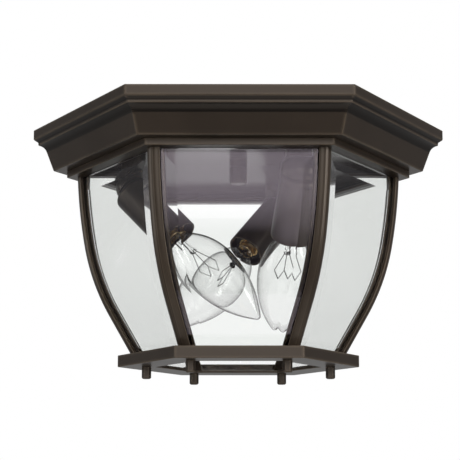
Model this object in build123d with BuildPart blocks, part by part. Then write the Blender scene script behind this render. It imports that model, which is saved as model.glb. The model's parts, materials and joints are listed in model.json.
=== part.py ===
from build123d import *
import os
from math import acos, asin, atan, cos, degrees, radians, sin, tan

os.makedirs("parts", exist_ok=True)

# Driving dimensions, in millimetres and degrees
# The ceiling is z = 0, and a radius of the hexagon runs from its centre to a corner
sides = 6
lamps = 3
fit_gap = 0.3
thread_gap = 0.1

# Crown of the canopy pan, from the ceiling down
rim_radius = 146.0
rim_height = 6.9
bevel_in = 3.4
bevel_drop = 2.2
bead_height = 1.9
cove_in = 6.2
cove_drop = 5.1
cove_sagitta = 1.05
slope_in = 5.2
crown_depth = 29.8
pan_wall = 2.5
shelf_thickness = 1.8

# Socket plate, which closes the pan from below
plate_thickness = 1.5
plate_recess = 2.4

# Cage ring under the crown
band_step = 9.5
band_height = 4.8
band_wall = 2.0
band_flange = 2.0
boss_radius = 4.0

# Ribs: the line of the nose, leaning in more towards the foot
rib_step = 7.8
lean_top = 2.6
lean_middle = 10.6
lean_foot = 29.8
upper_bend = 361.0
lower_bend = 155.0
nose_width = 1.6
wing_length = 4.6
wing_thickness = 2.2
web_thickness = 4.6
inner_flange_width = 8.4
inner_flange_thickness = 2.0

# Glass panes with a ground bevel round the outer face
glass_thickness = 4.0
glass_edge = 2.6
bevel_width = 11.5

# Bottom ring
lantern_depth = 168.8
lip_height = 8.2
lip_wall = 2.0
ring_flange = 2.0
ring_overhang = 13.1
ring_width = 23.0

# Cage fasteners
screw_radius = 1.5
screw_clearance = 0.2
screw_head_radius = 2.8
screw_head_height = 2.0
screw_grip = 9.0
stud_grip = 4.0
stud_inset = 7.1
cap_nut_flats = 5.8
cap_nut_height = 8.2
cap_nut_chamfer = 0.8
cap_nut_bore = 5.4

# Mounting strap and centre nipple
strap_length = 114.0
strap_width = 16.0
strap_thickness = 1.6
slot_spacing = 79.4
slot_length = 24.0
slot_width = 4.8
ground_screw_place = 20.0
ground_screw_radius = 2.0
ground_head_radius = 4.0
ground_head_height = 2.2
nipple_radius = 4.8
nipple_wall = 1.5
locknut_flats = 14.0
locknut_height = 3.0
centre_nut_radius = 6.2
centre_nut_height = 11.6
centre_nut_bore = 8.0
centre_nut_round = 1.2

# Sockets, set in a pinwheel and tilted inwards
socket_circle = 70.7
socket_bearing = 185.0
pinwheel = 25.6
socket_tilt = 45.0
pivot_drop = 21.2
neck_radius = 9.0
knuckle_radius = 13.6
knuckle_bend = 10.0
knuckle_rise = 5.2
sleeve_radius = 13.5
sleeve_wall = 1.2
sleeve_setback = 6.0
sleeve_reach = 44.9
sleeve_round = 4.0
sleeve_rim_round = 0.5
sleeve_nipple_radius = 4.0
sleeve_nipple_wall = 1.2
sleeve_nipple_grip = 6.5
wire_way_radius = 2.2
nipple_stand = 6.5
nipple_floor = 1.8
body_wall_gap = 1.3
body_setback = 4.9
shell_depth = 20.0
shell_wall = 0.5
shell_lip = 0.9
contact_radius = 1.4
contact_cap_radius = 2.2
contact_cap_height = 0.8

# Bulbs with a small screw base
thread_radius = 5.9
thread_gap_in_shell = 0.35
base_length = 16.4
base_stand = 0.7
base_taper = 1.8
base_wall = 0.5
insulator_length = 2.6
insulator_tip_radius = 2.6
solder_gap = 0.1
solder_height = 0.9
solder_radius = 2.3
bulb_radius = 18.2
bulb_length = 81.8
bulb_belly = 32.4
bulb_shoulder = 6.5
bulb_flare = 1.4
bulb_tip_radius = 2.4
bulb_wall = 0.7
bulb_neck_depth = 5.0
stem_radius = 1.9
stem_height = 15.5
stem_flare_height = 8.0
wire_radius = 0.3
lead_spread = 7.0
lead_root = 1.0
lead_height = 13.5
filament_rise = 7.5

# Worked-out angles and levels
half_corner = radians(180 / sides)
flat = cos(half_corner)
seat = -(crown_depth - plate_recess - plate_thickness)
plate_underside = seat - plate_thickness
crown_foot = -crown_depth
band_foot = crown_foot - band_height
ring_foot = -lantern_depth
ring_floor = ring_foot + ring_flange

# Worked-out corner radii
bead_radius = rim_radius - bevel_in
cove_radius = bead_radius - cove_in
foot_radius = cove_radius - slope_in
band_radius = foot_radius - band_step
nose_radius = band_radius - rib_step
lip_flat = band_radius * flat - band_wall - fit_gap
plate_radius = (lip_flat - fit_gap) / flat

# Rib section, seen along the rib: across it, and outwards from the nose
wing_out = wing_length * cos(half_corner)
wing_back = wing_length * sin(half_corner)
wing_tip = nose_width / 2 + wing_out
glass_hold = (wing_tip - web_thickness / 2 - fit_gap) / cos(half_corner)
bevel_slope = (glass_thickness - glass_edge) / bevel_width
held_edge = glass_edge + bevel_slope * glass_hold
groove = held_edge + 2 * fit_gap
apex = nose_width / 2 * tan(half_corner)
flange_slope = apex - (wing_thickness + groove) / cos(half_corner)
flange_edge = flange_slope - inner_flange_width / 2 * tan(half_corner)
rib_depth = inner_flange_thickness - flange_edge

# Where the rib's nose is at the ring, and what lines up with it there
upper_drop = upper_bend * (sin(radians(lean_middle)) - sin(radians(lean_top)))
upper_in = upper_bend * (cos(radians(lean_top)) - cos(radians(lean_middle)))
lower_drop = lower_bend * (sin(radians(lean_foot)) - sin(radians(lean_middle)))
lower_in = lower_bend * (cos(radians(lean_middle)) - cos(radians(lean_foot)))
tail_drop = band_foot - upper_drop - lower_drop - ring_floor
tail_length = tail_drop / cos(radians(lean_foot))
rib_foot_radius = nose_radius - upper_in - lower_in - tail_drop * tan(radians(lean_foot))
ring_radius = rib_foot_radius + ring_overhang
stud_circle = rib_foot_radius - stud_inset
web_middle = wing_thickness / cos(half_corner) + groove / 2
screw_circle = nose_radius - web_middle
screw_hole = screw_radius + screw_clearance
tapped_hole = screw_radius + thread_gap
shelf_flat = (screw_circle - screw_head_radius) * flat - fit_gap
band_inner_flat = (nose_radius - rib_depth) * flat - fit_gap

# Glass pane: distance of its outer face from the axis, and its leans seen square to the pane
glass_top = band_foot - fit_gap
glass_foot = ring_floor + fit_gap
glass_set = wing_thickness + fit_gap + held_edge - glass_thickness
glass_flat = (nose_radius + apex) * flat - glass_set

# Lamp axis: through the pivot under each neck, tilted inwards
pivot_height = plate_underside - pivot_drop
aim = radians(socket_bearing + 180 - pinwheel)
tilt = radians(socket_tilt)
pivot = Vector(
    socket_circle * cos(radians(socket_bearing)), socket_circle * sin(radians(socket_bearing)), pivot_height
)
lamp_direction = Vector(sin(tilt) * cos(aim), sin(tilt) * sin(aim), -cos(tilt))
lamp_side = Vector(-sin(aim), cos(aim), 0)
lamp_axis = Axis(pivot, lamp_direction)
lamp_plane = Plane(origin=pivot, x_dir=lamp_side, z_dir=lamp_direction)
lamp_section = Plane(origin=pivot, x_dir=lamp_side, z_dir=lamp_side.cross(lamp_direction))

# Lamp pieces along the axis, measured from the pivot
body_floor = sleeve_wall - sleeve_setback
body_face = sleeve_reach - body_setback
body_radius = sleeve_radius - sleeve_wall - body_wall_gap
shell_inner = thread_radius + thread_gap_in_shell
shell_outer = shell_inner + shell_wall
shell_floor = body_face - shell_depth
base_top = sleeve_reach + base_stand
base_foot = base_top - base_length
solder_top = base_foot - insulator_length - solder_gap
solder_tip = solder_top - solder_height
elbow_nipple_foot = pivot_height + (nipple_radius * sin(tilt) + sleeve_setback) / cos(tilt) + nipple_floor


def upright(bearing):
    """Vertical plane through the axis: first direction outwards at the bearing, second upwards."""
    turn = radians(bearing)
    return Plane(origin=(0, 0, 0), x_dir=(cos(turn), sin(turn), 0), z_dir=(sin(turn), -cos(turn), 0))


def level(height, bearing=0):
    """Level plane at a height, turned to a bearing."""
    turn = radians(bearing)
    return Plane(origin=(0, 0, height), x_dir=(cos(turn), sin(turn), 0), z_dir=(0, 0, 1))


def hexagon_corners(corner_radius):
    """Corners of the closed frame line, starting at the middle of the first side."""
    bearings = [2 * half_corner * index for index in range(1, sides + 1)]
    start = corner_radius * flat
    corners = [(corner_radius * cos(turn), corner_radius * sin(turn)) for turn in bearings]
    return [(start * cos(half_corner), start * sin(half_corner))] + corners


def finish(piece, name):
    """Names a finished piece and writes its file."""
    piece.part.label = name
    export_step(piece.part, f"parts/{name}.step")


def finish_round(piece, name, count):
    """Writes copies of a piece, turned evenly about the lantern's axis."""
    for index in range(count):
        with BuildPart(level(0, 360 / count * index)) as copy:
            add(piece.part)
        finish(copy, f"{name}_{index + 1}")


first_side = 180 / sides

# Canopy pan: the crown's section carried round the hexagon, with a shelf for the plate
with BuildPart() as canopy_pan:
    bead_top = -(rim_height + bevel_drop)
    cove_top = bead_top - bead_height
    cove_foot = cove_top - cove_drop
    shelf_top = seat + shelf_thickness
    slope_left = (shelf_top - crown_foot) / (cove_foot - crown_foot)
    shelf_wall = (foot_radius + slope_in * slope_left) * flat - pan_wall
    with BuildLine() as frame_line:
        Polyline(*hexagon_corners(rim_radius), close=True)
    with BuildSketch(upright(first_side)):
        with BuildLine():
            Polyline(
                (cove_radius * flat, cove_foot),
                (foot_radius * flat, crown_foot),
                (lip_flat, crown_foot),
                (lip_flat, seat),
                (shelf_flat, seat),
                (shelf_flat, shelf_top),
                (shelf_wall, shelf_top),
                (cove_radius * flat - pan_wall, cove_foot + pan_wall),
                (rim_radius * flat - pan_wall, bevel_drop - rim_height),
                (rim_radius * flat - pan_wall, 0),
                (rim_radius * flat, 0),
                (rim_radius * flat, -rim_height),
                (bead_radius * flat, bead_top),
                (bead_radius * flat, cove_top),
            )
            SagittaArc((bead_radius * flat, cove_top), (cove_radius * flat, cove_foot), cove_sagitta)
        make_face()
    sweep(path=frame_line.wire(), transition=Transition.RIGHT)
    with PolarLocations(screw_circle, sides):
        Hole(screw_hole)
finish(canopy_pan, "canopy_pan")

# Socket plate: seats under the pan's shelf
with BuildPart() as socket_plate:
    with BuildSketch(level(plate_underside)):
        RegularPolygon(plate_radius, sides)
    extrude(amount=plate_thickness)
    Hole(nipple_radius + thread_gap)
    with PolarLocations(socket_circle, lamps, start_angle=socket_bearing):
        Hole(nipple_radius + thread_gap)
    with PolarLocations(screw_circle, sides):
        Hole(screw_hole)
finish(socket_plate, "socket_plate")

# Cage ring: a shallow channel with a boss at each corner that reaches up to the plate
with BuildPart() as cage_ring:
    band_flat = band_radius * flat
    flange_top = band_foot + band_flange
    with BuildLine() as frame_line:
        Polyline(*hexagon_corners(band_radius), close=True)
    with BuildSketch(upright(first_side)):
        with BuildLine():
            Polyline(
                (band_flat, crown_foot),
                (band_flat, band_foot),
                (band_inner_flat, band_foot),
                (band_inner_flat, flange_top),
                (band_flat - band_wall, flange_top),
                (band_flat - band_wall, crown_foot),
                close=True,
            )
        make_face()
    sweep(path=frame_line.wire(), transition=Transition.RIGHT)
    with BuildSketch(level(flange_top)):
        with PolarLocations(screw_circle, sides):
            Circle(boss_radius)
    extrude(amount=plate_underside - flange_top)
    with PolarLocations(screw_circle, sides):
        Hole(screw_hole)
finish(cage_ring, "cage_ring")

# Rib: nose with two wings over the glass, a web between the panes, and a flange behind them
with BuildPart() as rib:
    with BuildLine(Plane.XZ) as nose_line:
        inward = sin(radians(lean_top))
        downward = cos(radians(lean_top))
        above = (nose_radius + rib_depth * inward, band_foot + rib_depth * downward)
        head = Line(above, (nose_radius, band_foot))
        upper = JernArc(head @ 1, (-inward, -downward), upper_bend, lean_top - lean_middle)
        lower = JernArc(upper @ 1, upper % 1, lower_bend, lean_middle - lean_foot)
        Line(lower @ 1, (lower @ 1) + (lower % 1) * (tail_length + rib_depth))
    with BuildSketch(Plane(origin=nose_line.wire() @ 0, x_dir=(0, 1, 0), z_dir=nose_line.wire() % 0)):
        with BuildLine():
            half_web = web_thickness / 2
            half_flange = inner_flange_width / 2
            wing_under = apex - wing_thickness / cos(half_corner)
            tip_under = wing_tip - wing_thickness * sin(half_corner)
            Polyline(
                (0, 0),
                (nose_width / 2, 0),
                (wing_tip, -wing_back),
                (tip_under, wing_under - tip_under * tan(half_corner)),
                (half_web, wing_under - half_web * tan(half_corner)),
                (half_web, flange_slope - half_web * tan(half_corner)),
                (half_flange, flange_edge),
                (half_flange, -rib_depth),
                (0, -rib_depth),
            )
            mirror(about=Plane.YZ)
        make_face()
    sweep(path=nose_line.wire())
    split(bisect_by=level(band_foot), keep=Keep.BOTTOM)
    split(bisect_by=level(ring_floor), keep=Keep.TOP)
    with Locations((screw_circle, 0, band_foot)):
        Hole(tapped_hole, screw_grip + fit_gap)
    with Locations((stud_circle, 0, ring_floor + stud_grip + fit_gap)):
        Hole(tapped_hole, 2 * stud_grip)
finish_round(rib, "rib", sides)

# Glass pane: bent to the ribs' line, trimmed to its sixth of the lantern, bevelled all round
with BuildPart() as glass_panel:
    outward = upright(first_side).x_dir
    leans = [degrees(atan(tan(radians(lean)) * flat)) for lean in (lean_top, lean_middle, lean_foot)]
    sines = [sin(radians(lean)) for lean in leans]
    upper_radius = upper_drop / (sines[1] - sines[0])
    lower_radius = lower_drop / (sines[2] - sines[1])
    overrun = glass_thickness * 2
    fall = Vector(-sines[0], -cos(radians(leans[0])))
    inwards = Vector(-cos(radians(leans[0])), sines[0]) * glass_thickness
    with BuildSketch(upright(first_side)):
        with BuildLine():
            faces = []
            for inset, shift in ((0, Vector(0, 0)), (glass_thickness, inwards)):
                turn_in = Vector(glass_flat, band_foot) + shift
                head = Line(turn_in - fall * overrun, turn_in)
                upper = JernArc(turn_in, fall, upper_radius - inset, leans[0] - leans[1])
                lower = JernArc(upper @ 1, upper % 1, lower_radius - inset, leans[1] - leans[2])
                tail = Line(lower @ 1, (lower @ 1) + (lower % 1) * (tail_length + overrun))
                faces.append((head @ 0, tail @ 1))
            Line(faces[0][0], faces[1][0])
            Line(faces[0][1], faces[1][1])
        make_face()
    extrude(amount=nose_radius, both=True)
    with BuildSketch(level(glass_foot, first_side)):
        with BuildLine():
            point = Vector((web_thickness / 2 + fit_gap) / sin(half_corner), 0)
            side = Vector(cos(half_corner), sin(half_corner)) * rim_radius
            Polyline(point, point + side, point + Vector(side.X, -side.Y), close=True)
        make_face()
    extrude(amount=glass_top - glass_foot, mode=Mode.INTERSECT)
    bevel_drop_in = glass_thickness - glass_edge
    outer = glass_panel.faces().filter_by(lambda face: face.normal_at().get_angle(outward) < 360 / sides)
    top_face = outer.sort_by(Axis.Z)[-1]
    rim_edges = top_face.edges().sort_by(Axis.Z)[1:]
    chamfer(rim_edges, length=bevel_width, length2=bevel_drop_in, reference=top_face)
    tail_face = glass_panel.faces().filter_by(Plane(outer.sort_by(Axis.Z)[0])).sort_by(SortBy.AREA)[-1]
    chamfer(tail_face.edges().sort_by(Axis.Z)[0], bevel_width, bevel_drop_in, reference=tail_face)
finish_round(glass_panel, "glass_panel", sides)

# Bottom ring: an upright lip and a wide flange that the ribs and panes stand on
with BuildPart() as bottom_ring:
    ring_flat = ring_radius * flat
    with BuildLine() as frame_line:
        Polyline(*hexagon_corners(ring_radius), close=True)
    with BuildSketch(upright(first_side)):
        with BuildLine():
            Polyline(
                (ring_flat, ring_foot),
                (ring_flat, ring_foot + lip_height),
                (ring_flat - lip_wall, ring_foot + lip_height),
                (ring_flat - lip_wall, ring_floor),
                (ring_flat - ring_width, ring_floor),
                (ring_flat - ring_width, ring_foot),
                close=True,
            )
        make_face()
    sweep(path=frame_line.wire(), transition=Transition.RIGHT)
    with PolarLocations(stud_circle, sides):
        Hole(screw_hole)
finish(bottom_ring, "bottom_ring")

# Rib screws: heads on the pan's shelf, shanks down into the ribs
with BuildPart() as rib_screws:
    with BuildSketch(level(shelf_top)):
        with PolarLocations(screw_circle, sides):
            Circle(screw_head_radius)
    extrude(amount=screw_head_height)
    with BuildSketch(level(band_foot - screw_grip)):
        with PolarLocations(screw_circle, sides):
            Circle(screw_radius)
    extrude(amount=shelf_top - band_foot + screw_grip)
finish(rib_screws, "rib_screws")

# Studs in the ribs' feet, and the blind nuts below the ring
with BuildPart() as rib_studs:
    stud_end = ring_foot - cap_nut_bore + fit_gap
    with BuildSketch(level(stud_end)):
        with PolarLocations(stud_circle, sides):
            Circle(screw_radius)
    extrude(amount=ring_floor + stud_grip - stud_end)
finish(rib_studs, "rib_studs")

with BuildPart() as cap_nuts:
    with BuildSketch(level(ring_foot)):
        with PolarLocations(stud_circle, sides):
            RegularPolygon(cap_nut_flats / 2, sides, major_radius=False)
    extrude(amount=-cap_nut_height)
    chamfer(cap_nuts.faces().group_by(Axis.Z)[0].edges(), cap_nut_chamfer)
    with Locations(level(ring_foot)):
        with PolarLocations(stud_circle, sides):
            Hole(tapped_hole, cap_nut_bore)
finish(cap_nuts, "cap_nuts")

# Mounting strap: flat crossbar with two slots for the outlet box screws
with BuildPart() as mounting_strap:
    with BuildSketch(level(-strap_thickness)):
        SlotOverall(strap_length, strap_width)
        with GridLocations(slot_spacing, 0, 2, 1):
            SlotOverall(slot_length, slot_width, mode=Mode.SUBTRACT)
        Circle(nipple_radius + thread_gap, mode=Mode.SUBTRACT)
        with Locations((-ground_screw_place, 0)):
            Circle(ground_screw_radius + thread_gap, mode=Mode.SUBTRACT)
    extrude(amount=strap_thickness)
finish(mounting_strap, "mounting_strap")

with BuildPart() as ground_screw:
    with BuildSketch(level(-strap_thickness)):
        with Locations((-ground_screw_place, 0)):
            Circle(ground_head_radius)
    extrude(amount=-ground_head_height)
    with BuildSketch(level(-strap_thickness)):
        with Locations((-ground_screw_place, 0)):
            Circle(ground_screw_radius)
    extrude(amount=strap_thickness)
finish(ground_screw, "ground_screw")

# Centre nipple: hollow tube from the strap down into the cap nut under the plate
with BuildPart() as centre_nipple:
    nipple_end = plate_underside - centre_nut_bore + fit_gap
    with BuildSketch(level(nipple_end)):
        Circle(nipple_radius)
        Circle(nipple_radius - nipple_wall, mode=Mode.SUBTRACT)
    extrude(amount=-nipple_end)
finish(centre_nipple, "centre_nipple")

with BuildPart() as centre_cap_nut:
    with BuildSketch(level(plate_underside)):
        Circle(centre_nut_radius)
    extrude(amount=-centre_nut_height)
    fillet(centre_cap_nut.faces().sort_by(Axis.Z)[0].edges(), centre_nut_round)
    with Locations((0, 0, plate_underside)):
        Hole(nipple_radius + thread_gap, centre_nut_bore)
finish(centre_cap_nut, "centre_cap_nut")

# Locknuts: one under the strap, the others on the plate over the sockets
with BuildPart() as locknuts:
    with BuildSketch(level(-strap_thickness - locknut_height)):
        RegularPolygon(locknut_flats / 2, sides, major_radius=False)
        Circle(nipple_radius + thread_gap, mode=Mode.SUBTRACT)
    extrude(amount=locknut_height)
    with BuildSketch(level(seat)):
        with PolarLocations(socket_circle, lamps, start_angle=socket_bearing):
            RegularPolygon(locknut_flats / 2, sides, major_radius=False)
            Circle(nipple_radius + thread_gap, mode=Mode.SUBTRACT)
    extrude(amount=locknut_height)
finish(locknuts, "locknuts")

with BuildPart() as elbow_nipples:
    with BuildSketch(level(elbow_nipple_foot)):
        with PolarLocations(socket_circle, lamps, start_angle=socket_bearing):
            Circle(nipple_radius)
            Circle(nipple_radius - nipple_wall, mode=Mode.SUBTRACT)
    extrude(amount=seat + nipple_stand - elbow_nipple_foot)
finish(elbow_nipples, "elbow_nipples")

# Socket elbow: neck and bulging knuckle, cut off square to the tilted lamp axis
with BuildPart() as socket_elbow:
    stand = Plane(origin=(pivot.X, pivot.Y, 0), x_dir=lamp_side, z_dir=(0, 0, 1))
    bulge_middle = knuckle_radius - knuckle_bend
    bulge_foot = knuckle_rise - knuckle_bend
    bulge_turn = degrees(acos((neck_radius - bulge_middle) / knuckle_bend))
    with BuildSketch(Plane(origin=pivot, x_dir=lamp_side, z_dir=lamp_side.cross(Vector(0, 0, 1)))):
        with BuildLine():
            bulge = CenterArc((bulge_middle, knuckle_rise), knuckle_bend, -90, 90 + bulge_turn)
            Polyline(bulge @ 1, (neck_radius, pivot_drop), (0, pivot_drop), (0, bulge_foot), bulge @ 0)
        make_face()
    revolve(axis=Axis(pivot, (0, 0, 1)))
    split(bisect_by=lamp_plane.offset(-sleeve_setback), keep=Keep.BOTTOM)
    with Locations(stand.offset(plate_underside)):
        Hole(nipple_radius + thread_gap, plate_underside - elbow_nipple_foot + fit_gap)
        Hole(wire_way_radius, plate_underside - pivot_height)
    with BuildSketch(lamp_plane.offset(-sleeve_setback)):
        Circle(sleeve_nipple_radius + thread_gap)
    extrude(amount=-sleeve_nipple_grip - fit_gap, mode=Mode.SUBTRACT)
finish_round(socket_elbow, "socket_elbow", lamps)

# Socket sleeve: drawn cup with a rounded closed end and an open mouth
with BuildPart() as socket_sleeve:
    cup_end = -sleeve_setback
    cup_hole = sleeve_nipple_radius + thread_gap
    inner_round = sleeve_round - sleeve_wall
    sleeve_inner = sleeve_radius - sleeve_wall
    with BuildSketch(lamp_section):
        with BuildLine():
            Line((cup_hole, cup_end), (sleeve_radius - sleeve_round, cup_end))
            CenterArc(
                (sleeve_radius - sleeve_round, cup_end + sleeve_round), sleeve_round, 270, 90
            )
            Line((sleeve_radius, cup_end + sleeve_round), (sleeve_radius, sleeve_reach))
            Line((sleeve_radius, sleeve_reach), (sleeve_inner, sleeve_reach))
            Line((sleeve_inner, sleeve_reach), (sleeve_inner, cup_end + sleeve_round))
            CenterArc(
                (sleeve_radius - sleeve_round, cup_end + sleeve_round), inner_round, 270, 90
            )
            Line((sleeve_radius - sleeve_round, body_floor), (cup_hole, body_floor))
            Line((cup_hole, body_floor), (cup_hole, cup_end))
        make_face()
    revolve(axis=lamp_axis)
    mouth = socket_sleeve.faces().filter_by(GeomType.PLANE).sort_by(lamp_axis)[-1]
    fillet(mouth.edges(), sleeve_rim_round)
finish_round(socket_sleeve, "socket_sleeve", lamps)

with BuildPart() as sleeve_nipple:
    with BuildSketch(lamp_plane.offset(-sleeve_setback - sleeve_nipple_grip)):
        Circle(sleeve_nipple_radius)
        Circle(sleeve_nipple_radius - sleeve_nipple_wall, mode=Mode.SUBTRACT)
    extrude(amount=2 * sleeve_nipple_grip + sleeve_wall)
with BuildPart() as sleeve_nipples:
    with PolarLocations(0, lamps):
        add(sleeve_nipple.part)
finish(sleeve_nipples, "sleeve_nipples")

# Socket body: moulded insulator, tapped at its foot, with a well for the screw shell
with BuildPart() as socket_body:
    well_floor = shell_floor - fit_gap
    with BuildSketch(lamp_plane.offset(body_floor)):
        Circle(body_radius)
    extrude(amount=body_face - body_floor)
    chamfer(socket_body.faces().sort_by(lamp_axis)[0].edges(), inner_round)
    with BuildSketch(lamp_plane.offset(body_face)):
        Circle(shell_outer + thread_gap)
    extrude(amount=well_floor - body_face, mode=Mode.SUBTRACT)
    with BuildSketch(lamp_plane.offset(body_floor)):
        Circle(sleeve_nipple_radius + thread_gap)
    extrude(amount=sleeve_nipple_grip + fit_gap, mode=Mode.SUBTRACT)
finish_round(socket_body, "socket_body", lamps)

# Screw shell: brass cup with a turned-out lip on the body's face
with BuildPart() as screw_shell:
    with BuildSketch(lamp_section):
        with BuildLine():
            Polyline(
                (contact_cap_radius + 2 * shell_wall, shell_floor),
                (shell_outer, shell_floor),
                (shell_outer, body_face),
                (shell_outer + shell_lip, body_face),
                (shell_outer + shell_lip, body_face + shell_wall),
                (shell_inner, body_face + shell_wall),
                (shell_inner, shell_floor + shell_wall),
                (contact_cap_radius + 2 * shell_wall, shell_floor + shell_wall),
                close=True,
            )
        make_face()
    revolve(axis=lamp_axis)
finish_round(screw_shell, "screw_shell", lamps)

# Centre contact: post with a cap just below the bulb's solder tip
with BuildPart() as centre_contact:
    contact_top = solder_tip - fit_gap
    with BuildSketch(lamp_plane.offset(well_floor)):
        Circle(contact_radius)
    extrude(amount=contact_top - well_floor)
    with BuildSketch(lamp_plane.offset(contact_top)):
        Circle(contact_cap_radius)
    extrude(amount=-contact_cap_height)
finish_round(centre_contact, "centre_contact", lamps)

# Bulb glass: neck in the base, straight flare, full belly and an ogive to a small round tip
with BuildPart() as bulb_glass:
    flare_top = base_top + bulb_flare
    belly = base_top + bulb_belly
    tip = base_top + bulb_length
    neck_radius_out = thread_radius - base_wall - fit_gap
    neck_foot = base_top - bulb_neck_depth
    shoulder_rise = belly - flare_top
    shoulder_run = bulb_radius - bulb_shoulder
    shoulder_bend = (shoulder_rise**2 + shoulder_run**2) / (2 * shoulder_run)
    tip_rise = tip - bulb_tip_radius - belly
    nose_bend = (bulb_radius**2 + tip_rise**2 - bulb_tip_radius**2) / (2 * (bulb_radius - bulb_tip_radius))
    shoulder_turn = degrees(asin(shoulder_rise / shoulder_bend))
    nose_turn = degrees(asin(tip_rise / (nose_bend - bulb_tip_radius)))
    with BuildSketch(lamp_section):
        with BuildLine():
            for inset in (0, bulb_wall):
                shoulder_middle = (bulb_radius - shoulder_bend, belly)
                shoulder = CenterArc(shoulder_middle, shoulder_bend - inset, -shoulder_turn, shoulder_turn)
                CenterArc((bulb_radius - nose_bend, belly), nose_bend - inset, 0, nose_turn)
                CenterArc((0, tip - bulb_tip_radius), bulb_tip_radius - inset, nose_turn, 90 - nose_turn)
                neck = neck_radius_out - inset
                Polyline((neck, neck_foot), (neck, base_top - inset), shoulder @ 0)
            Line((neck_radius_out, neck_foot), (neck_radius_out - bulb_wall, neck_foot))
            Line((0, tip), (0, tip - bulb_wall))
        make_face()
    revolve(axis=lamp_axis)
finish_round(bulb_glass, "bulb_glass", lamps)

# Bulb base: brass screw cup, its glass insulator and the solder tip
with BuildPart() as bulb_base:
    taper_top = base_foot + base_taper
    insulator_radius = thread_radius - base_taper
    with BuildSketch(lamp_section):
        with BuildLine():
            Polyline(
                (insulator_radius - base_wall, base_foot),
                (insulator_radius, base_foot),
                (thread_radius, taper_top),
                (thread_radius, base_top - fit_gap),
                (thread_radius - base_wall, base_top - fit_gap),
                (thread_radius - base_wall, taper_top),
                close=True,
            )
        make_face()
    revolve(axis=lamp_axis)
finish_round(bulb_base, "bulb_base", lamps)

with BuildPart() as bulb_insulator:
    insulator_foot = base_foot - insulator_length
    with BuildSketch(lamp_section):
        with BuildLine():
            Polyline(
                (0, insulator_foot),
                (insulator_tip_radius, insulator_foot),
                (insulator_radius, base_foot),
                (0, base_foot),
                close=True,
            )
        make_face()
    revolve(axis=lamp_axis)
finish_round(bulb_insulator, "bulb_insulator", lamps)

with BuildPart() as bulb_contact:
    dome_radius = (solder_radius**2 + solder_height**2) / (2 * solder_height)
    dome_turn = degrees(asin(solder_radius / dome_radius))
    with BuildSketch(lamp_section):
        with BuildLine():
            dome = CenterArc((0, solder_tip + dome_radius), dome_radius, -90, dome_turn)
            Polyline(dome @ 1, (0, solder_top), dome @ 0)
        make_face()
    revolve(axis=lamp_axis)
finish_round(bulb_contact, "bulb_contact", lamps)

# Bulb stem: flare that closes the neck, drawn up into a solid rod
with BuildPart() as bulb_stem:
    flare_radius = neck_radius_out - bulb_wall - fit_gap
    flare_foot = neck_foot + fit_gap
    stem_top = base_top + stem_height
    with BuildSketch(lamp_section):
        with BuildLine():
            Polyline(
                (0, flare_foot),
                (flare_radius, flare_foot),
                (stem_radius, flare_foot + stem_flare_height),
                (stem_radius, stem_top),
                (0, stem_top),
                close=True,
            )
        make_face()
    revolve(axis=lamp_axis)
finish_round(bulb_stem, "bulb_stem", lamps)

# Bulb filament: two leads out of the stem, a zigzag wire between them and its middle support
with BuildPart() as bulb_filament:
    lead_foot = stem_top + wire_radius
    lead_top = stem_top + lead_height
    peak = lead_top + filament_rise
    runs = (
        ((-lead_root, lead_foot), (-lead_spread, lead_top)),
        ((lead_root, lead_foot), (lead_spread, lead_top)),
        ((0, lead_foot), (0, lead_top)),
        ((-lead_spread, lead_top), (-lead_spread / 2, peak)),
        ((-lead_spread / 2, peak), (0, lead_top)),
        ((0, lead_top), (lead_spread / 2, peak)),
        ((lead_spread / 2, peak), (lead_spread, lead_top)),
    )
    for start, end in runs:
        begin = lamp_section.from_local_coords(Vector(*start))
        far_end = lamp_section.from_local_coords(Vector(*end))
        with BuildSketch(Plane(origin=begin, z_dir=far_end - begin)):
            Circle(wire_radius)
        extrude(amount=(far_end - begin).length)
    joints = ((-lead_spread, lead_top), (lead_spread, lead_top), (0, lead_top))
    for place in joints + ((-lead_spread / 2, peak), (lead_spread / 2, peak)):
        with Locations(lamp_section.from_local_coords(Vector(*place))):
            Sphere(wire_radius)
finish_round(bulb_filament, "bulb_filament", lamps)
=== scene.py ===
"""Looks of the outdoor ceiling light: bronze lantern, bent bevelled panes and three clear lamps."""
import json
from math import asin, atan, cos, hypot, pi, radians, sin, tan

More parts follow.
